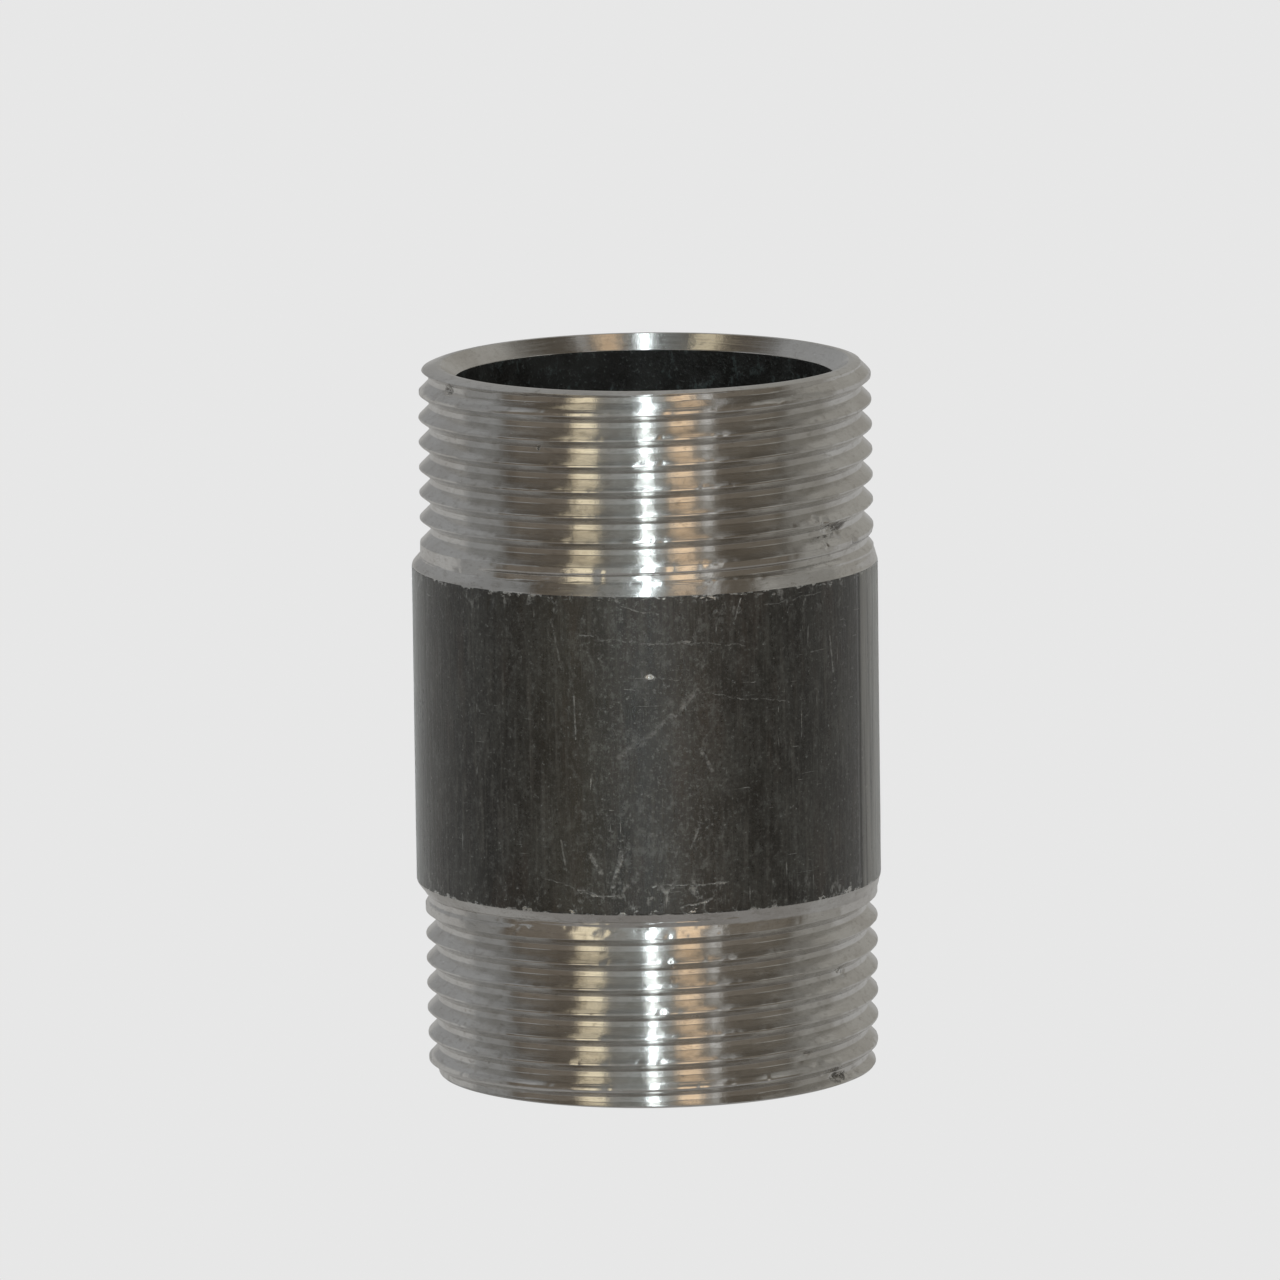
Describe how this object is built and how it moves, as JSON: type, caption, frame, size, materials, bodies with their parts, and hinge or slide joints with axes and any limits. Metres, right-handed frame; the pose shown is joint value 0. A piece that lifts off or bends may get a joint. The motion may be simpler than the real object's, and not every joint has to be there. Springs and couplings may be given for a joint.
{
  "type": "threaded pipe nipple",
  "caption": "Short steel pipe nipple with a plain scaled middle, a right-hand pipe thread on each end and a through bore.",
  "frame": {"origin": "centre of the bottom end face, on the pipe's axis", "axes": "+Z along the pipe's axis, from the bottom thread to the top thread; +X and +Y square to it"},
  "size_m": [0.0426, 0.0426, 0.0656],
  "materials": {
    "steel_pipe": "machined bright steel on the threaded ends and bevels, dark mill scale on the rolled middle"
  },
  "bodies": {
    "root": {"nipple_body": "steel_pipe"}
  },
  "joints": []
}
